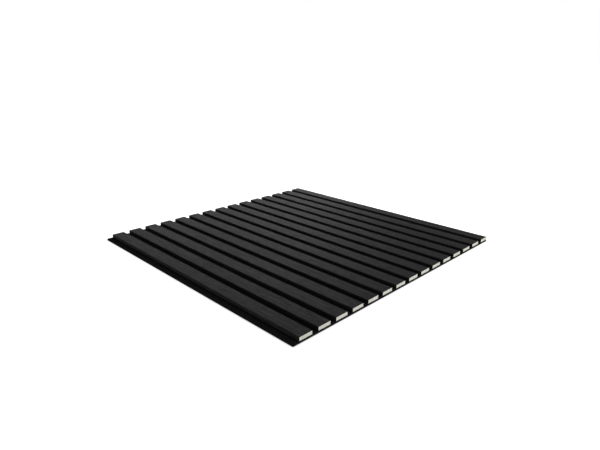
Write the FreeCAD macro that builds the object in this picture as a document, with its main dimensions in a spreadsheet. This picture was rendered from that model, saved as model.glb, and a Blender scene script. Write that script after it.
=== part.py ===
# Acoustic slat wall panel, lying on its back: a thin black felt board that carries fifteen foil-wrapped slats.
# Lengths are in millimetres. The origin is in the middle of the board's back face and +Z points out of the face
# that shows on the wall. The slats run along Y and stand side by side along X. The bare felt lip, over which
# the next panel's pattern carries on, is on the -X side.

import FreeCAD, Part
import Sketcher
import os

# The driving sizes: name, value, what it measures.
SIZES = (
    ("panel_length", 600, "felt board and slats, all cut to one length"),
    ("slat_count", 15, "slats on the board"),
    ("slat_width", 27, "one slat over its foil"),
    ("gap_width", 13, "open felt between two slats"),
    ("lip_width", 13, "bare felt beside the first slat"),
    ("felt_thickness", 3.5, "pressed felt board"),
    ("core_thickness", 6, "fibreboard core of a slat"),
    ("foil_thickness", 0.5, "decor foil round the top and both sides of a core"),
    ("edge_radius", 0.5, "upper long edges of a core, under the foil"),
    ("staple_rows", 3, "staples along each slat"),
    ("staple_end_inset", 30, "slat end to the middle of the nearest staple"),
    ("staple_crown", 12.8, "staple over its two legs, across the slat"),
    ("staple_sink", 0.3, "back face of the felt to the back of a crown"),
    ("tip_cover", 1.2, "core left over the tips of the legs"),
    ("tip_slant", 0.9, "height of the slanted cut on a leg's tip"),
    ("wire_width", 0.95, "flat staple wire, along the slat"),
    ("wire_thickness", 0.65, "flat staple wire, through its thin side"),
)

# What is worked out from them.
PITCH = "(Sizes.slat_width + Sizes.gap_width)"
PANEL_WIDTH = f"(Sizes.lip_width + Sizes.slat_count * {PITCH} - Sizes.gap_width)"
FIRST_SLAT_X = f"(Sizes.lip_width + Sizes.slat_width / 2 - {PANEL_WIDTH} / 2)"
HALF_SLAT = "Sizes.slat_width / 2"
HALF_CORE = "(Sizes.slat_width / 2 - Sizes.foil_thickness)"
SLAT_HEIGHT = "(Sizes.core_thickness + Sizes.foil_thickness)"
FIRST_ROW_Y = "(Sizes.staple_end_inset - Sizes.panel_length / 2)"
STAPLE_SPAN = "(Sizes.panel_length - 2 * Sizes.staple_end_inset)"
SLAT_SPAN = f"(Sizes.slat_count - 1) * {PITCH}"
TIP_DEPTH = "(Sizes.core_thickness - Sizes.tip_cover)"
LEG_LENGTH = f"(Sizes.felt_thickness - Sizes.staple_sink + {TIP_DEPTH})"
CROWN_SLOT_DEPTH = "(Sizes.staple_sink + Sizes.wire_thickness)"
LEG_OUTER = "Sizes.staple_crown / 2"
LEG_INNER = "(Sizes.staple_crown / 2 - Sizes.wire_thickness)"
HALF_WIRE = "Sizes.wire_width / 2"

NEAR = 1e-6


def make_sheet(doc):
    """The spreadsheet that holds the driving sizes, one row each."""
    sheet = doc.addObject("Spreadsheet::Sheet", "Sizes")
    for row, (name, value, note) in enumerate(SIZES, start=1):
        sheet.set(f"A{row}", name)
        sheet.set(f"B{row}", str(value))
        sheet.set(f"C{row}", note)
        sheet.setAlias(f"B{row}", name)
    doc.recompute()
    return sheet


def make_body(doc, label, x="0", y="0", z="0"):
    """An empty body for one piece of the panel, with its own origin at (x, y, z)."""
    body = doc.addObject("PartDesign::Body", label)
    body.Label = label
    for axis, place in (("x", x), ("y", y), ("z", z)):
        body.setExpression(f"Placement.Base.{axis}", place)
    return body


def origin_part(body, role):
    """One of the body's own origin planes or axes, such as XY_Plane."""
    return next(part for part in body.Origin.OriginFeatures if part.Role == role)


def make_sketch(body, name, plane, outlines, x="0", y="0"):
    """A sketch of closed outlines, on one of the body's origin planes, moved by (x, y) in that plane.

    Each outline is a list of corners and each corner a pair of expressions, from the sketch's own centre."""
    sketch = body.newObject("Sketcher::SketchObject", name)
    sketch.AttachmentSupport = [(origin_part(body, plane), "")]
    sketch.MapMode = "FlatFace"
    sketch.setExpression("AttachmentOffset.Base.x", x)
    sketch.setExpression("AttachmentOffset.Base.y", y)
    for corners in outlines:
        draw_outline(sketch, corners)
    return sketch


def draw_outline(sketch, corners):
    """Straight lines from corner to corner and back to the first, each corner held at its place."""
    first = sketch.GeometryCount
    places = [[float(sketch.evalExpression(text)) for text in corner] for corner in corners]
    points = [FreeCAD.Vector(across, up, 0) for across, up in places]
    for start, end in zip(points, points[1:] + points[:1]):
        sketch.addGeometry(Part.LineSegment(start, end))
    for side in range(len(corners)):
        line = first + side
        following = first + (side + 1) % len(corners)
        sketch.addConstraint(Sketcher.Constraint("Coincident", line, 2, following, 1))
        across, up = corners[side]
        hold_corner(sketch, "DistanceX", line, across, points[side].x)
        hold_corner(sketch, "DistanceY", line, up, points[side].y)


def hold_corner(sketch, kind, line, text, value):
    """Holds the start of a line at a distance from the sketch's centre, or on the axis where that is 0."""
    if text == "0":
        axis = -1 if kind == "DistanceY" else -2
        sketch.addConstraint(Sketcher.Constraint("PointOnObject", line, 1, axis))
        return
    number = sketch.addConstraint(Sketcher.Constraint(kind, -1, 1, line, 1, value))
    sketch.setExpression(f"Constraints[{number}]", text)


def box_outline(half_width, low, high):
    """Corners of a rectangle that is centred across and runs from low to high."""
    return [(f"-{half_width}", low), (half_width, low), (half_width, high), (f"-{half_width}", high)]


def add_pad(body, sketch, name, length, midplane=False):
    """Material from the sketch's plane, by length, or half of it to each side."""
    pad = body.newObject("PartDesign::Pad", name)
    pad.Profile = sketch
    pad.Midplane = midplane
    pad.setExpression("Length", length)
    body.Document.recompute()
    return pad


def add_pocket_upwards(body, sketch, name, depth=None):
    """A hole from the underside, depth deep, or right through where none is given."""
    pocket = body.newObject("PartDesign::Pocket", name)
    pocket.Profile = sketch
    pocket.Reversed = True
    if depth is None:
        pocket.Type = "ThroughAll"
    else:
        pocket.setExpression("Length", depth)
    body.Document.recompute()
    return pocket


def add_staple_pattern(body, originals, whole_panel=False):
    """Copies of the originals at every staple along one slat, or along every slat of the panel."""
    pattern = body.newObject("PartDesign::LinearPattern", "StaplePattern")
    pattern.Originals = originals
    pattern.Direction = (origin_part(body, "Y_Axis"), [""])
    pattern.setExpression("Length", STAPLE_SPAN)
    pattern.setExpression("Occurrences", "Sizes.staple_rows")
    if whole_panel:
        pattern.Direction2 = (origin_part(body, "X_Axis"), [""])
        pattern.setExpression("Length2", SLAT_SPAN)
        pattern.setExpression("Occurrences2", "Sizes.slat_count")
    body.Tip = pattern
    body.Document.recompute()
    return pattern


def edges_along_y(feature, height):
    """Names of the straight edges that run along Y at a height of the feature's shape."""
    found = []
    for number, edge in enumerate(feature.Shape.Edges, start=1):
        box = edge.BoundBox
        if abs(box.ZMin - height) < NEAR and abs(box.ZMax - height) < NEAR and box.XLength < NEAR:
            found.append(f"Edge{number}")
    return found


def add_fillet(body, base, name, height, radius):
    """Rounds the long edges of the base at a height."""
    fillet = body.newObject("PartDesign::Fillet", name)
    fillet.Base = (base, edges_along_y(base, height))
    fillet.setExpression("Radius", radius)
    body.Document.recompute()
    return fillet


def leg_holes(half_length):
    """Outlines, seen from above, of the two holes that the legs of one staple go through."""
    low, high = f"-{half_length}", half_length
    right = [(LEG_INNER, low), (LEG_OUTER, low), (LEG_OUTER, high), (LEG_INNER, high)]
    left = [(f"-{across}", up) for across, up in right]
    return [right, left]


def make_felt(doc):
    """The felt board: a flat sheet with a slot and two leg holes in its back for every staple."""
    body = make_body(doc, "felt_board")
    half_panel = f"{PANEL_WIDTH} / 2"
    outline = box_outline(half_panel, "-Sizes.panel_length / 2", "Sizes.panel_length / 2")
    add_pad(body, make_sketch(body, "BoardOutline", "XY_Plane", [outline]), "Board", "Sizes.felt_thickness")
    at = {"x": FIRST_SLAT_X, "y": FIRST_ROW_Y}
    crown = box_outline(LEG_OUTER, f"-{HALF_WIRE}", HALF_WIRE)
    crown_sketch = make_sketch(body, "CrownOutline", "XY_Plane", [crown], **at)
    crown_slot = add_pocket_upwards(body, crown_sketch, "CrownSlot", CROWN_SLOT_DEPTH)
    legs_sketch = make_sketch(body, "LegOutlines", "XY_Plane", leg_holes(HALF_WIRE), **at)
    legs = add_pocket_upwards(body, legs_sketch, "LegHoles")
    add_staple_pattern(body, [crown_slot, legs], whole_panel=True)
    return body


def make_core(doc, index):
    """The fibreboard core of one slat, with blind holes where the staples' legs end in it."""
    middle = f"{FIRST_SLAT_X} + {index} * {PITCH}"
    body = make_body(doc, f"slat_core_{index + 1:02d}", x=middle, z="Sizes.felt_thickness")
    outline = box_outline(HALF_CORE, "0", "Sizes.core_thickness")
    sketch = make_sketch(body, "CoreProfile", "XZ_Plane", [outline])
    bar = add_pad(body, sketch, "CoreBar", "Sizes.panel_length", midplane=True)
    add_fillet(body, bar, "CoreEdges", doc.Sizes.core_thickness, "Sizes.edge_radius")
    legs = make_sketch(body, "LegOutlines", "XY_Plane", leg_holes(HALF_WIRE), y=FIRST_ROW_Y)
    holes = add_pocket_upwards(body, legs, "LegHoles", TIP_DEPTH)
    add_staple_pattern(body, [holes])
    return body


def make_foil(doc, index):
    """The foil of one slat: the slat's outside, hollowed from below and open at both cut ends."""
    middle = f"{FIRST_SLAT_X} + {index} * {PITCH}"
    body = make_body(doc, f"slat_foil_{index + 1:02d}", x=middle, z="Sizes.felt_thickness")
    outline = box_outline(HALF_SLAT, "0", SLAT_HEIGHT)
    sketch = make_sketch(body, "SlatProfile", "XZ_Plane", [outline])
    bar = add_pad(body, sketch, "SlatBar", "Sizes.panel_length", midplane=True)
    top = doc.Sizes.core_thickness + doc.Sizes.foil_thickness
    rounded = add_fillet(body, bar, "SlatEdges", top, "Sizes.edge_radius + Sizes.foil_thickness")
    wrap = body.newObject("PartDesign::Thickness", "Wrap")
    wrap.Base = (rounded, open_faces(rounded))
    wrap.Reversed = True
    wrap.Join = "Intersection"
    wrap.setExpression("Value", "Sizes.foil_thickness")
    doc.recompute()
    return body


def open_faces(feature):
    """Names of the faces that the foil leaves bare: the underside and the two cut ends."""
    whole = feature.Shape.BoundBox
    found = []
    for number, face in enumerate(feature.Shape.Faces, start=1):
        box = face.BoundBox
        underside = box.ZMax - whole.ZMin < NEAR
        cut_end = box.YLength < NEAR
        if underside or cut_end:
            found.append(f"Face{number}")
    return found


def make_staples(doc):
    """All the staples, each a solid of its own: a flat wire bent to a U, driven in from the back."""
    body = make_body(doc, "staples", x=FIRST_SLAT_X, y=FIRST_ROW_Y, z="Sizes.staple_sink")
    body.AllowCompound = True
    shoulder = f"({LEG_LENGTH} - Sizes.tip_slant)"
    right = [
        (LEG_OUTER, "0"),
        (LEG_OUTER, shoulder),
        (LEG_INNER, LEG_LENGTH),
        (LEG_INNER, "Sizes.wire_thickness"),
    ]
    left = [(f"-{across}", up) for across, up in reversed(right)]
    sketch = make_sketch(body, "StapleProfile", "XZ_Plane", [right + left])
    wire = add_pad(body, sketch, "StapleWire", "Sizes.wire_width", midplane=True)
    add_fillet(body, wire, "CrownBends", 0, "Sizes.wire_thickness")
    pattern = add_staple_pattern(body, [wire], whole_panel=True)
    pattern.TransformMode = "Whole shape"
    doc.recompute()
    return body


def write_parts(doc, bodies):
    """Checks every object of the document and every piece, then writes one file for each piece."""
    doc.recompute()
    for item in doc.Objects:
        if "Invalid" in item.State or "Error" in item.State:
            raise RuntimeError(f"{item.Label} failed: {item.State}")
    for body in bodies:
        if body.Shape.isNull() or not body.Shape.isValid() or not body.Shape.Solids:
            raise RuntimeError(f"{body.Label} has no valid solid")
    os.makedirs("parts", exist_ok=True)
    for body in bodies:
        body.Shape.exportStep(os.path.join("parts", f"{body.Label}.step"))


def main():
    doc = FreeCAD.newDocument("SlatPanel")
    sheet = make_sheet(doc)
    slats = range(int(sheet.slat_count))
    bodies = [make_felt(doc)]
    bodies += [make_core(doc, index) for index in slats]
    bodies += [make_foil(doc, index) for index in slats]
    bodies.append(make_staples(doc))
    write_parts(doc, bodies)


main()
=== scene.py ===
"""Looks of the acoustic slat wall panel: black foil-wrapped slats with pale cut ends on black felt.

Metres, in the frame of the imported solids. The slats run along Y, the bare felt lip is on the -X
side, and the cut ends that the camera sees are on the -Y side."""

import math
import random

import bmesh
import bpy
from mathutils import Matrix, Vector


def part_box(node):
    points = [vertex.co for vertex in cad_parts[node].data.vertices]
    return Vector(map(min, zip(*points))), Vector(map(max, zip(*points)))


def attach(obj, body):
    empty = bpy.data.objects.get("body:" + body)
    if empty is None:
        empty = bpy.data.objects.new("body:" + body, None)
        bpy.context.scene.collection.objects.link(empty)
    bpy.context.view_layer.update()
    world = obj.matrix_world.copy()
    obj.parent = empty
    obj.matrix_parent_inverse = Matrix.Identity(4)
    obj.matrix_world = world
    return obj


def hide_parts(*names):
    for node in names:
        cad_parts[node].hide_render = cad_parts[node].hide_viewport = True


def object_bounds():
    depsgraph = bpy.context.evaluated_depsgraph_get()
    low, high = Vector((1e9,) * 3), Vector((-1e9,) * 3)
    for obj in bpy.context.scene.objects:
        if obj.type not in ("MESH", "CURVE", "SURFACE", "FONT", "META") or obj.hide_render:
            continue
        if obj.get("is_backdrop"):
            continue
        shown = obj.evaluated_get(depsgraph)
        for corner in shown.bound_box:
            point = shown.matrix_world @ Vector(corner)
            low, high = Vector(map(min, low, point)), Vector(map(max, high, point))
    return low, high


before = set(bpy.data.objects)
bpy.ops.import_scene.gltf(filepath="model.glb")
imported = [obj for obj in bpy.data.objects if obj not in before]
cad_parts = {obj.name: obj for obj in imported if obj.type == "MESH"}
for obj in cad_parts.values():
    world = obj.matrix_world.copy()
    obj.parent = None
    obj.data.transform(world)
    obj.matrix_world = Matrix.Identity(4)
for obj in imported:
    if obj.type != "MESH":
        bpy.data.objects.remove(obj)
cad_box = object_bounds()

X, Y, Z = range(3)
MM = 0.001
NEAR = 0.01 * MM

# Sizes that come from the solids.
FELT_LOW, FELT_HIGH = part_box("felt_board")
FOIL_LOW, FOIL_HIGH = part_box("slat_foil_01")
CORE_LOW, CORE_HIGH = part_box("slat_core_01")
SLAT_COUNT = sum(name.startswith("slat_core_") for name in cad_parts)
SLAT_WIDTH = FOIL_HIGH.x - FOIL_LOW.x
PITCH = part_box("slat_core_02")[0].x - CORE_LOW.x
GAP_WIDTH = PITCH - SLAT_WIDTH
LIP_WIDTH = FOIL_LOW.x - FELT_LOW.x
FOIL_SKIN = CORE_LOW.x - FOIL_LOW.x

# Slats: the foil's rounding as on the solid, the part of its thickness that isn't black where it is
# cut, over the core and beside it, and the saw's relief on the core's ends.
FOIL_ROUNDING = 1.0 * MM
FOIL_SHARP_ANGLE = math.radians(35)
BACKING_ABOVE = 0.3 * MM
BACKING_BESIDE = 0.15 * MM
SAW_CUT_GRID = 0.5 * MM
SAW_CUT_DEPTH = 0.12 * MM
SAW_MARK_SIZE = 1.1 * MM

# Felt: its cut edges, and the loose fibres on it.
FELT_EDGE_ROUNDING = 0.3 * MM
FELT_EDGE_UNEVEN = 0.25 * MM
KNIFE_MARK_SIZE = 4.0 * MM
FIBRE_SEED = 27
FIBRES_ON_FELT = 3600
FIBRES_ON_EDGES = 1400
FIBRE_THICKNESS = 0.045 * MM
FIBRE_LENGTH = (0.5 * MM, 1.3 * MM)
FIBRE_STEPS = 3
FIBRE_TAPER = 0.2
FIBRE_RISE = (0.15, 0.8)
FIBRE_BEND = 0.5
FIBRE_SAG = 0.18
ROOT_DEPTH = 0.1 * MM
EDGE_ROOT_DEPTH = 0.15 * MM

# The parts of an open strip's width, of its length and of a cut edge's height that fibres stand on.
SPAN_ACROSS, SPAN_ALONG, SPAN_UP = (0.04, 0.96), 0.998, (0.15, 0.85)

# Studio: the floor lies just under the panel, and is open there for a look from below. It glows
# less near the panel, over SOFT_SHADE and over CONTACT_SHADE, and its paper is dark in a line
# right where they touch: both are painted shadow. The line's width and CONTACT_SHADE are
# SIDES_NARROWER times narrower along the sides without cut ends.
FLOOR_SIZE = 30.0
FLOOR_DROP = 0.1 * MM
FLOOR_OPENING = 0.597
SOFT_SHADE = 80 * MM
CONTACT_SHADE = 2.5 * MM
# Width of the floor's painted shadow line, dark in its paper's colour where the panel touches.
PAINTED_SHADOW_LINE = 1.5 * MM
SIDES_NARROWER = 2.5
SKY_LIGHT = 0.35
LAMPS = (
    # Name, place, width, power, and height where it isn't round.
    ("front", (1.0, -2.0, 1.0), 1.5, 38.0),
    ("overhead", (0.25, 0.5, 0.9), 0.5, 4.1),
    ("back_sheen", (1.7, 1.7, 1.0), 1.2, 9.7),
    ("low_sheen", (1.8, 1.8, 0.65), 1.0, 7.4),
    ("left_sheen", (1.0, 2.3, 0.65), 1.0, 8.3),
    ("left_fill", (-2.4, 0.2, 0.11), 1.6, 11.5, 0.2),
    ("from_below", (-0.8, -1.0, -1.4), 1.2, 30.0),
)
SENSOR_WIDTH, LENS_LENGTH = 36.0, 29.2846
CAMERA_PLACE = (-0.71332, -0.73217, 0.38956)
CAMERA_HEADING = (0.664863, 0.671888, -0.326379)


# Modelling.

def select_only(piece):
    bpy.ops.object.select_all(action="DESELECT")
    piece.select_set(True)
    bpy.context.view_layer.objects.active = piece


def edit(piece):
    select_only(piece)
    bpy.ops.object.mode_set(mode="EDIT")


def leave_edit():
    bpy.ops.object.mode_set(mode="OBJECT")


def pick(piece, kind, wanted):
    """In edit mode: selects the faces, edges or vertices that are wanted, and nothing else."""
    bpy.ops.mesh.select_mode(type=kind)
    bpy.ops.mesh.select_all(action="DESELECT")
    mesh = bmesh.from_edit_mesh(piece.data)
    for part in {"VERT": mesh.verts, "EDGE": mesh.edges, "FACE": mesh.faces}[kind]:
        if wanted(part):
            part.select_set(True)
    mesh.select_flush_mode()
    bmesh.update_edit_mesh(piece.data)


def runs_along(edge, axis):
    span = edge.verts[1].co - edge.verts[0].co
    return abs(span[axis]) > 0.99 * span.length


def middle_of(edge):
    return (edge.verts[0].co + edge.verts[1].co) / 2


def at_height(edge, height):
    return all(abs(vertex.co.z - height) < NEAR for vertex in edge.verts)


def at_cut_end(place):
    return abs(abs(place.y) - FELT_HIGH.y) < NEAR


def is_cut_end(face):
    return abs(face.normal.y) > 0.99 and at_cut_end(face.calc_center_median())


def group_vertices(piece, name, wanted):
    """A vertex group of the vertices whose place is wanted."""
    group = piece.vertex_groups.new(name=name)
    inside = [vertex.index for vertex in piece.data.vertices if wanted(vertex.co)]
    group.add(inside, 1.0, "REPLACE")


def roughen(piece, group, depth, texture):
    """Presses the vertices of a group in by up to depth, along their normals, after a texture."""
    modifier = piece.modifiers.new(group, "DISPLACE")
    modifier.vertex_group = group
    modifier.texture = texture
    modifier.texture_coords = "LOCAL"
    modifier.direction = "NORMAL"
    modifier.mid_level = 1.0
    modifier.strength = depth
    select_only(piece)
    bpy.ops.object.modifier_apply(modifier=modifier.name)


def cloud_texture(name, size):
    texture = bpy.data.textures.new(name, "CLOUDS")
    texture.noise_scale = size
    texture.noise_depth = 3
    return texture


def merged_copy(node, name):
    """A copy of a solid's mesh with its loose triangles merged."""
    piece = bpy.data.objects.new(name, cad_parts[node].data.copy())
    bpy.context.scene.collection.objects.link(piece)
    edit(piece)
    bpy.ops.mesh.select_all(action="SELECT")
    bpy.ops.mesh.remove_doubles(threshold=NEAR / 10)
    leave_edit()
    return piece


def wear(piece, node, material):
    """Finishes a piece: it rides with the panel, stands for its solid and gets its material."""
    piece.data.materials.clear()
    piece.data.materials.append(material)
    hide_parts(node)
    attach(piece, "root")


def model_wrap():
    """One slat's foil: a bar with rounded upper edges, opened below and at its ends, and given
    the foil's thickness. It is divided across its top, up its sides and along its length."""
    cuts_across, cuts_up, cuts_along = 24, 4, 19
    bpy.ops.object.select_all(action="DESELECT")
    middle, size = (FOIL_LOW + FOIL_HIGH) / 2, FOIL_HIGH - FOIL_LOW
    bpy.ops.mesh.primitive_cube_add(size=1.0, location=middle, scale=size)
    wrap = bpy.context.object
    bpy.ops.object.transform_apply(location=True, rotation=False, scale=True)
    edit(wrap)
    pick(wrap, "EDGE", lambda edge: runs_along(edge, Y) and at_height(edge, FOIL_HIGH.z))
    bpy.ops.mesh.bevel(offset=FOIL_ROUNDING, segments=6, affect="EDGES")
    pick(wrap, "FACE", lambda face: face.normal.z < -0.9 or abs(face.normal.y) > 0.9)
    bpy.ops.mesh.delete(type="FACE")
    pick(wrap, "EDGE", lambda edge: runs_along(edge, X) and edge.calc_length() > SLAT_WIDTH / 2)
    bpy.ops.mesh.subdivide(number_cuts=cuts_across)
    pick(wrap, "EDGE", lambda edge: runs_along(edge, Z))
    bpy.ops.mesh.subdivide(number_cuts=cuts_up)
    pick(wrap, "EDGE", lambda edge: runs_along(edge, Y))
    bpy.ops.mesh.subdivide(number_cuts=cuts_along)
    leave_edit()
    skin = wrap.modifiers.new("skin", "SOLIDIFY")
    skin.thickness = FOIL_SKIN
    skin.offset = -1.0
    skin.use_even_offset = True
    bpy.ops.object.modifier_apply(modifier=skin.name)
    bpy.ops.object.shade_smooth_by_angle(angle=FOIL_SHARP_ANGLE)
    return wrap


def model_bar():
    """One slat's core, its cut ends divided finely enough for the relief that the saw leaves."""
    bar = merged_copy("slat_core_01", "slat_bar_01")
    edit(bar)
    for side in (-1, 1):
        pick(bar, "FACE", lambda face: is_cut_end(face) and face.normal.y * side > 0)
        bpy.ops.mesh.dissolve_faces()
    for axis, direction in ((X, (1, 0, 0)), (Z, (0, 0, 1))):
        size = CORE_HIGH[axis] - CORE_LOW[axis]
        count = round(size / SAW_CUT_GRID)
        for cut in range(1, count):
            pick(bar, "FACE", is_cut_end)
            place = Vector((0, 0, 0))
            place[axis] = CORE_LOW[axis] + size * cut / count
            bpy.ops.mesh.bisect(plane_co=place, plane_no=direction)
    leave_edit()
    return bar


def one_for_each_slat(first, name, node):
    """The first slat's piece and a copy of it on each further slat, each with its own mesh."""
    pieces = [first]
    for index in range(2, SLAT_COUNT + 1):
        piece = bpy.data.objects.new(name, first.data.copy())
        bpy.context.scene.collection.objects.link(piece)
        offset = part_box(f"{node}_{index:02d}")[0].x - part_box(f"{node}_01")[0].x
        for vertex in piece.data.vertices:
            vertex.co.x += offset
        pieces.append(piece)
    for index, piece in enumerate(pieces, 1):
        piece.name = f"{name}_{index:02d}"
    return pieces


def model_felt():
    """The felt board. Its cut edges are a little rounded, as a knife leaves pressed fibres, and
    divided finely enough to be made uneven. The vertices of its rim are grouped for that."""
    felt = merged_copy("felt_board", "felt_mat")

    def on_rim(place):
        return abs(abs(place.x) - FELT_HIGH.x) < NEAR or at_cut_end(place)

    def is_rim_edge(edge):
        return all(on_rim(vertex.co) for vertex in edge.verts) and on_rim(middle_of(edge))

    edit(felt)
    for axis, side in ((X, -1), (X, 1), (Y, -1), (Y, 1)):

        def is_rim_face(face):
            return face.normal[axis] * side > 0.99 and on_rim(face.calc_center_median())

        pick(felt, "FACE", is_rim_face)
        bpy.ops.mesh.dissolve_faces()
    pick(felt, "EDGE", is_rim_edge)
    bpy.ops.mesh.bevel(offset=FELT_EDGE_ROUNDING, segments=3, affect="EDGES")
    # The whole edges are cut into stretches of 12 mm first, and each of those into eight then.
    for longer_than, cuts in ((300 * MM, 49), (10 * MM, 7)):

        def is_long_rim_edge(edge):
            middle = middle_of(edge)
            depth = min(FELT_HIGH.x - abs(middle.x), FELT_HIGH.y - abs(middle.y))
            return depth < 2 * FELT_EDGE_ROUNDING and edge.calc_length() > longer_than

        pick(felt, "EDGE", is_long_rim_edge)
        bpy.ops.mesh.subdivide(number_cuts=cuts)
    leave_edit()
    group_vertices(felt, "rim", on_rim)
    return felt


def fibre_points(root, outwards, draw):
    """A loose fibre: it leaves the felt at root, leans over, and bends and sinks on its way."""
    length = draw.uniform(*FIBRE_LENGTH)
    lean = Vector([draw.uniform(-1, 1) for axis in range(3)])
    lean -= lean.dot(outwards) * outwards
    lean.normalize()
    heading = (lean + outwards * draw.uniform(*FIBRE_RISE)).normalized()
    points = [root - outwards * ROOT_DEPTH]
    for step in range(FIBRE_STEPS):
        points.append(points[-1] + heading * length / FIBRE_STEPS)
        bend = Vector([draw.uniform(-FIBRE_BEND, FIBRE_BEND) for axis in range(3)])
        heading = (heading + bend - outwards * FIBRE_SAG).normalized()
    return points


def fibre_roots(draw):
    """Places and directions where loose fibres stand out of the felt: its open strips, which are
    the lip and the gaps, and its cut edges."""
    strips = [(FELT_LOW.x, LIP_WIDTH)]
    strips += [(FOIL_HIGH.x + gap * PITCH, GAP_WIDTH) for gap in range(SLAT_COUNT - 1)]
    for number in range(FIBRES_ON_FELT):
        start, width = strips[number % len(strips)]
        across = start + width * draw.uniform(*SPAN_ACROSS)
        along = draw.uniform(FELT_LOW.y, FELT_HIGH.y) * SPAN_ALONG
        yield Vector((across, along, FELT_HIGH.z)), Vector((0, 0, 1))
    for number in range(FIBRES_ON_EDGES):
        across = draw.uniform(FELT_LOW.x, FELT_HIGH.x)
        along = draw.uniform(FELT_LOW.y, FELT_HIGH.y)
        place = Vector((across, along, draw.uniform(*SPAN_UP) * FELT_HIGH.z))
        axis, side = ((X, -1), (X, 1), (Y, -1), (Y, 1))[number % 4]
        outwards = Vector((0, 0, 0))
        outwards[axis] = side
        place[axis] = side * (FELT_HIGH[axis] - EDGE_ROOT_DEPTH)
        yield place, outwards


def model_fibres():
    """All the loose fibres as thin tubes along short bent lines, thinner towards their tips."""
    draw = random.Random(FIBRE_SEED)
    curve = bpy.data.curves.new("felt_fibres", "CURVE")
    curve.dimensions = "3D"
    curve.bevel_depth = FIBRE_THICKNESS / 2
    curve.bevel_resolution = 0
    curve.use_fill_caps = True
    for root, outwards in fibre_roots(draw):
        points = fibre_points(root, outwards, draw)
        line = curve.splines.new("POLY")
        line.points.add(len(points) - 1)
        for number, point in enumerate(points):
            point.z = max(point.z, FIBRE_THICKNESS)
            line.points[number].co = (*point, 1)
            line.points[number].radius = 1.0 - FIBRE_TAPER * number
    fibres = bpy.data.objects.new("felt_fibres", curve)
    bpy.context.scene.collection.objects.link(fibres)
    select_only(fibres)
    bpy.ops.object.convert(target="MESH")
    return bpy.context.object


# Shader maths written as Python.

class Value:
    """A number, colour or vector in a node tree. Arithmetic on it adds the nodes."""

    def __init__(self, maker, socket):
        self.maker = maker
        self.socket = socket

    def math(self, operation, *others):
        return self.maker.node("ShaderNodeMath", {"operation": operation}, self, *others)

    def reflected(self, operation, other):
        return self.maker.node("ShaderNodeMath", {"operation": operation}, other, self)

    def __add__(self, other):
        return self.math("ADD", other)

    __radd__ = __add__

    def __mul__(self, other):
        return self.math("MULTIPLY", other)

    __rmul__ = __mul__

    def __sub__(self, other):
        return self.math("SUBTRACT", other)

    def __rsub__(self, other):
        return self.reflected("SUBTRACT", other)

    def __truediv__(self, other):
        return self.math("DIVIDE", other)

    def __rtruediv__(self, other):
        return self.reflected("DIVIDE", other)

    def __abs__(self):
        return self.math("ABSOLUTE")

    def floor(self):
        return self.math("FLOOR")

    def larger(self, other):
        return self.math("MAXIMUM", other)

    def clamp(self):
        return self.maker.node("ShaderNodeClamp", {}, self)

    def step(self, low, high):
        """0 up to low, 1 from high on, with a soft rise between. It falls where low is above."""
        sizes = {"Value": self, "From Min": low, "From Max": high, "To Min": 0.0, "To Max": 1.0}
        return self.maker.node("ShaderNodeMapRange", {"interpolation_type": "SMOOTHSTEP"}, **sizes)


class Maker:
    """Builds the node tree of one material or world."""

    def __init__(self, owner):
        self.owner = owner
        owner.use_nodes = True
        self.tree = owner.node_tree
        self.tree.nodes.clear()

    def node(self, kind, settings=None, *values, output=0, inputs=None, **named):
        """Adds a node: its settings first, then its inputs by order, number and name.

        Gives back the output that is asked for, or each one of a tuple of them."""
        node = self.tree.nodes.new(kind)
        for name, setting in (settings or {}).items():
            setattr(node, name, setting)
        for name, value in [*enumerate(values), *(inputs or {}).items(), *named.items()]:
            if isinstance(value, Value):
                self.tree.links.new(value.socket, node.inputs[name])
            else:
                node.inputs[name].default_value = value
        if isinstance(output, tuple):
            return [Value(self, node.outputs[name]) for name in output]
        return Value(self, node.outputs[output])

    def mix(self, factor, low, high):
        """A colour between two colours, which are a Mix node's inputs 6 and 7."""
        colours = {0: factor, 6: low, 7: high}
        return self.node("ShaderNodeMix", {"data_type": "RGBA"}, inputs=colours, output=2)

    def place(self):
        """Where a point lies, in metres from the frame's origin."""
        return self.node("ShaderNodeTexCoord", output="Object")

    def axes(self, place):
        """The three coordinates of a place, as numbers."""
        return self.node("ShaderNodeSeparateXYZ", {}, place, output=("X", "Y", "Z"))

    def noise(self, place, repeats, detail=2.0, roughness=0.5, distortion=0.0, turn=(0, 0, 0)):
        """Noise with so many repeats to the metre: one number, or one for each of X, Y and Z."""
        if isinstance(repeats, tuple):
            place = self.node("ShaderNodeMapping", {}, Vector=place, Scale=repeats, Rotation=turn)
            repeats = 1.0
        sizes = {"Vector": place, "Scale": repeats, "Detail": detail, "Roughness": roughness}
        return self.node("ShaderNodeTexNoise", {}, Distortion=distortion, **sizes)

    def bump(self, height, strength, distance, under=None):
        """A Normal with a relief of some distance, on top of another where one is under it."""
        links = {"Height": height, "Strength": strength, "Distance": distance}
        if under:
            links["Normal"] = under
        return self.node("ShaderNodeBump", {}, **links)

    def surface(self, **inputs):
        """A Principled surface, which ends the tree. Inputs are named with _ for a space."""
        named = {name.replace("_", " "): value for name, value in inputs.items()}
        self.end(self.node("ShaderNodeBsdfPrincipled", {}, **named))
        return self.owner

    def end(self, shader, kind="ShaderNodeOutputMaterial"):
        """Ends the tree with an output node, which gets the shader and gives nothing back."""
        self.node(kind, {}, Surface=shader, output=())


def colour_of(red, green, blue):
    return (red, green, blue, 1.0)


def grey(level):
    return colour_of(level, level, level)


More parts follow.
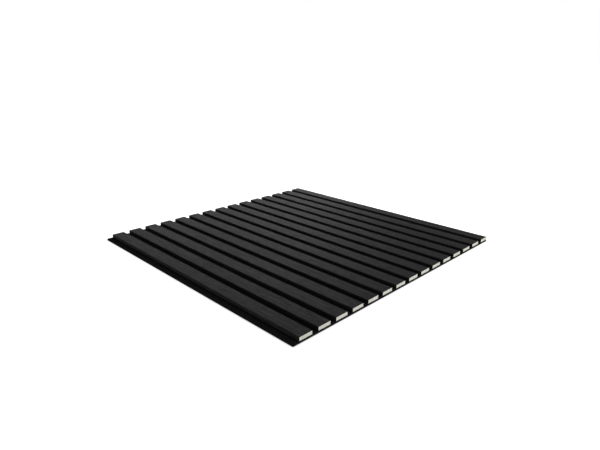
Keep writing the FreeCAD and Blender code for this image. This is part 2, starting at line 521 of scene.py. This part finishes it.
def sawn_board(m, place, up):
    """Sawn fibreboard: matted cream fibres in thin layers, denser and darker towards both faces,
    with dark flecks, and painted shade that darkens it along the lower edge, next to the felt.

    Gives back its colour, the height of its relief, its fibres and its dense layers."""
    middle, half = (CORE_LOW.z + CORE_HIGH.z) / 2, (CORE_HIGH.z - CORE_LOW.z) / 2
    dense = (abs(up - middle) / half).step(0.6, 1.0)
    # Painted shade: the colour darkens over the lowest 1.4 mm of the core, next to the felt.
    dust_and_low_shade = up.step(CORE_LOW.z + 1.4 * MM, CORE_LOW.z)
    fibres = m.noise(place, (900, 900, 3400), 4.0, 0.7, 1.0)
    wander = m.noise(place, (500, 500, 2200), 2.0, 0.5, 1.6, turn=(0, 0.12, 0))
    threads = abs(wander - 0.5).step(0.03, 0.0)
    clumps = m.noise(place, (170, 170, 620), 3.0, 0.55)
    flecks = m.noise(place, (1500, 1500, 4200), 1.0).step(0.69, 0.74)
    scratches = m.noise(place, (2600, 2600, 55), turn=(0, 0.16, 0)).step(0.3, 0.7)
    tone = fibres.step(0.25, 0.75) * 0.4 + clumps.step(0.3, 0.7) * 0.35
    tone = (tone + threads * 0.2 + scratches * 0.1).clamp()
    colour = m.mix(tone, colour_of(0.565, 0.545, 0.475), colour_of(0.81, 0.805, 0.745))
    colour = m.mix(dense * 0.3, colour, colour_of(0.52, 0.48, 0.40))
    colour = m.mix(flecks * 0.65, colour, colour_of(0.20, 0.155, 0.10))
    # Painted shade along the lower edge.
    colour = m.mix(dust_and_low_shade * 0.5, colour, colour_of(0.26, 0.24, 0.21))
    height = fibres + threads * 0.3 + scratches * 0.25 - flecks * 0.4
    return colour, height, fibres, dense


def core_material():
    """Bare sawn fibreboard, dull all over, a little less so in its dense layers."""
    m = Maker(bpy.data.materials.new("pale_fibreboard"))
    place = m.place()
    colour, height, fibres, dense = sawn_board(m, place, m.axes(place)[Z])
    dullness = (0.9 - dense * 0.12 + (fibres - 0.5) * 0.1).clamp()
    relief = m.bump(height, 0.5, 0.1 * MM)
    return m.surface(Base_Color=colour, Roughness=dullness, Normal=relief, Specular_IOR_Level=0.1)


def foil_material():
    """Matt black decor foil: a faint wood grain along the slat, another on each slat, with fine
    short pores.

    Where it is cut, its black face is a thin line, and the board's fibres show under it."""
    m = Maker(bpy.data.materials.new("black_decor_foil"))
    place = m.place()
    across, along, up = m.axes(place)
    pitches = (across - (FOIL_LOW.x - GAP_WIDTH / 2)) / PITCH
    slat = pitches.floor()
    lot = m.node("ShaderNodeTexWhiteNoise", {"noise_dimensions": "1D"}, W=slat)
    shift = m.node("ShaderNodeCombineXYZ", {}, 0.0, lot * 3.0, lot * 0.7)
    board = m.node("ShaderNodeVectorMath", {"operation": "ADD"}, place, shift)

    veins = m.noise(board, (700, 7, 700), 5.0, 0.62, 0.6)
    figure = m.noise(board, (110, 3.2, 110), 3.0, 0.5, 1.4)
    mottle = m.noise(board, (330, 44, 330), 4.0, 0.7, 0.3)
    ticks = m.noise(board, (1500, 95, 1500)).step(0.53, 0.61)
    dashes = m.noise(board, (3600, 150, 3600))
    pores = dashes.step(0.58, 0.64) * figure.step(0.36, 0.56)
    # Fine specks of the foil's own surface, in its colour and its relief.
    dust_and_low_shade = m.noise(board, 2600.0)
    tone = veins.step(0.32, 0.68) * 0.36 + figure.step(0.3, 0.7) * 0.18
    tone = tone + mottle.step(0.35, 0.65) * 0.34 + ticks * 0.26
    tone = (tone * (1 - pores * 0.8) + (lot - 0.5) * 0.15 + (dust_and_low_shade - 0.5) * 0.12).clamp()
    colour = m.mix(tone, colour_of(0.0065, 0.0065, 0.0067), colour_of(0.0250, 0.0250, 0.0253))

    from_middle = abs(pitches - slat - 0.5) * PITCH
    black_beside = (CORE_HIGH.x - CORE_LOW.x) / 2 + BACKING_BESIDE
    black_above = CORE_HIGH.z + BACKING_ABOVE
    backing = from_middle.step(black_beside, black_beside - NEAR)
    backing = backing * up.step(black_above, black_above - NEAR)
    at_end = abs(along).step(FOIL_HIGH.y - 3 * NEAR, FOIL_HIGH.y - NEAR)
    colour = m.mix(backing * at_end, colour, sawn_board(m, place, up)[0])

    dullness = (0.54 + pores * 0.16 - (mottle - 0.5) * 0.3).clamp()
    grain = m.bump(veins * 0.7 + ticks * 0.5 - pores * 0.9, 0.4, 0.04 * MM)
    skin = m.bump(dust_and_low_shade, 0.12, 0.02 * MM, grain)
    return m.surface(Base_Color=colour, Roughness=dullness, Normal=skin, Specular_IOR_Level=0.01)


def felt_material():
    """Pressed black felt: fine fibres that lie crosswise in many directions, over soft clumps."""
    m = Maker(bpy.data.materials.new("black_felt"))
    place = m.place()
    strands = None
    for turn in (0.2, 1.1, 1.9, 2.7):
        wander = m.noise(place, (1500, 260, 900), distortion=1.2, turn=(turn, turn / 2, turn))
        strand = abs(wander - 0.5).step(0.035, 0.0)
        strands = strand if strands is None else strands.larger(strand)
    clumps = m.noise(place, 300.0, 4.0, 0.7, 1.5)
    pits = m.noise(place, 1300.0)
    tone = (strands * 0.45 + pits * 0.1 + clumps.step(0.32, 0.72) * 0.45).clamp()
    colour = m.mix(tone, grey(0.0006), colour_of(0.0140, 0.0140, 0.0144))
    dullness = (0.97 - strands * 0.12).clamp()
    hollow = m.bump(clumps + pits * 0.4, 0.5, 0.3 * MM)
    relief = m.bump(strands, 0.6, 0.06 * MM, hollow)
    return m.surface(Base_Color=colour, Roughness=dullness, Normal=relief, Specular_IOR_Level=0.0)


def fibre_material():
    """The loose fibres: lighter than the pressed ones, a painted sheen, and differing in tone."""
    m = Maker(bpy.data.materials.new("loose_fibres"))
    lot = m.noise(m.place(), 240.0, 1.0)
    colour = m.mix(lot.step(0.4, 0.65), grey(0.004), colour_of(0.030, 0.030, 0.031))
    return m.surface(Base_Color=colour, Roughness=0.85, Specular_IOR_Level=0.0)


def staple_material():
    """Zinc coated flat wire: drawn lines along the wire, small dull clouds."""
    m = Maker(bpy.data.materials.new("zinc_coated_wire"))
    place = m.place()
    drawn = m.noise(place, (90, 5200, 90), 3.0, 0.6)
    dull = m.noise(place, 900.0, 3.0, 0.6).step(0.4, 0.65)
    colour = m.mix(dull, colour_of(0.62, 0.62, 0.60), grey(0.40))
    dullness = (0.28 + dull * 0.22 + drawn * 0.1).clamp()
    relief = m.bump(drawn, 0.3, 0.02 * MM)
    return m.surface(Base_Color=colour, Metallic=1.0, Roughness=dullness, Normal=relief)


# The panel.

foil = foil_material()
fibreboard = core_material()
black_felt = felt_material()

for index, wrap in enumerate(one_for_each_slat(model_wrap(), "slat_wrap", "slat_foil"), 1):
    wear(wrap, f"slat_foil_{index:02d}", foil)

saw_marks = cloud_texture("saw_marks", SAW_MARK_SIZE)
for index, bar in enumerate(one_for_each_slat(model_bar(), "slat_bar", "slat_core"), 1):
    group_vertices(bar, "cut_ends", at_cut_end)
    roughen(bar, "cut_ends", SAW_CUT_DEPTH, saw_marks)
    wear(bar, f"slat_core_{index:02d}", fibreboard)

felt = model_felt()
roughen(felt, "rim", FELT_EDGE_UNEVEN, cloud_texture("knife_cut", KNIFE_MARK_SIZE))
wear(felt, "felt_board", black_felt)

fibres = model_fibres()
fibres.data.materials.append(fibre_material())
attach(fibres, "root")

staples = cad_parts["staples"]
staples.data.materials.clear()
staples.data.materials.append(staple_material())


# Studio: floor, world, lamps and camera.

def seen_directly(m):
    """1 for rays from the camera, also by way of a shiny or clear surface."""
    kinds = ("Is Camera Ray", "Is Glossy Ray", "Is Transmission Ray")
    camera_ray, glossy_ray, clear_ray = m.node("ShaderNodeLightPath", output=kinds)
    return (camera_ray + glossy_ray + clear_ray).clamp()


def floor_material():
    """White paper, lit plainly, with a painted shadow: its colour is dark in the thin line
    where the panel touches it. Seen directly it also glows, fully away from the panel and hardly
    where it touches, which paints shade there too.

    Its underside is clear, so that the back of the panel can be looked at from below."""
    m = Maker(bpy.data.materials.new("white_paper"))
    across, along = m.axes(m.place())[:2]
    beside, before = abs(across) - FELT_HIGH.x, abs(along) - FELT_HIGH.y
    away = beside.larger(before)
    contact = (beside * SIDES_NARROWER).larger(before)
    speckle = m.noise(m.place(), 300.0, 3.0, 0.6)
    tone = m.mix(speckle, grey(0.78), grey(0.82))
    # Painted shadow: the paper's colour turns dark in a thin line where the panel touches it.
    tone = m.mix(contact.step(0.0, PAINTED_SHADOW_LINE), grey(0.25), tone)
    paper = m.node("ShaderNodeBsdfDiffuse", {}, Color=tone)
    # Painted shade: the glow is lowered near the panel, most where it touches.
    brightness = 0.06 + contact.step(0.0, CONTACT_SHADE) * 0.5 + away.step(0.0, SOFT_SHADE) * 0.5
    glow = m.node("ShaderNodeEmission", {}, Color=m.mix(brightness, grey(0.0), grey(1.0)))
    glowing = m.node("ShaderNodeAddShader", {}, paper, glow)
    top_side = m.node("ShaderNodeMixShader", {}, seen_directly(m), paper, glowing)
    below = m.node("ShaderNodeNewGeometry", output="Backfacing")
    clear = m.node("ShaderNodeBsdfTransparent")
    m.end(m.node("ShaderNodeMixShader", {}, below, top_side, clear))
    return m.owner


def add_floor():
    """A wide sheet of paper just under the panel, with an opening that the panel covers."""
    bpy.ops.object.select_all(action="DESELECT")
    bpy.ops.mesh.primitive_plane_add(size=FLOOR_SIZE, location=(0, 0, -FLOOR_DROP))
    floor = bpy.context.object
    floor.name = "studio_floor"
    edit(floor)
    for direction in ((1, 0, 0), (-1, 0, 0), (0, 1, 0), (0, -1, 0)):
        bpy.ops.mesh.select_all(action="SELECT")
        bpy.ops.mesh.bisect(plane_co=Vector(direction) * FLOOR_OPENING / 2, plane_no=direction)
    pick(floor, "FACE", lambda face: face.calc_center_median().xy.length < NEAR)
    bpy.ops.mesh.delete(type="FACE")
    leave_edit()
    floor.data.materials.append(floor_material())
    floor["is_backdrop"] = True


def add_sky():
    """An even light from all sides, which is plain white where it is seen directly."""
    world = bpy.data.worlds.new("studio")
    bpy.context.scene.world = world
    m = Maker(world)
    light = m.node("ShaderNodeBackground", {}, Color=grey(1.0), Strength=SKY_LIGHT)
    white = m.node("ShaderNodeBackground", {}, Color=grey(1.0), Strength=1.0)
    sky = m.node("ShaderNodeMixShader", {}, seen_directly(m), light, white)
    m.end(sky, "ShaderNodeOutputWorld")


def add_lamp(name, place, width, power, height=None):
    """A soft lamp that faces the middle of the panel: round, or oval with a height of its own."""
    lamp = bpy.data.lights.new(name, "AREA")
    lamp.shape = "ELLIPSE"
    lamp.size = width
    lamp.size_y = height or width
    lamp.energy = power
    holder = bpy.data.objects.new(name, lamp)
    holder.location = place
    holder.rotation_euler = (-Vector(place)).to_track_quat("-Z", "Y").to_euler()
    bpy.context.scene.collection.objects.link(holder)


def add_camera():
    lens = bpy.data.cameras.new("camera")
    lens.sensor_width = SENSOR_WIDTH
    lens.lens = LENS_LENGTH
    camera = bpy.data.objects.new("camera", lens)
    camera.location = CAMERA_PLACE
    camera.rotation_euler = Vector(CAMERA_HEADING).to_track_quat("-Z", "Y").to_euler()
    bpy.context.scene.collection.objects.link(camera)
    bpy.context.scene.camera = camera


add_floor()
add_sky()
for lamp in LAMPS:
    add_lamp(*lamp)
add_camera()
bpy.context.scene.view_settings.view_transform = "Standard"

visual_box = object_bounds()
boxes = {"cad": cad_box, "visual": visual_box}
{name: [list(corner) for corner in box] for name, box in boxes.items()}
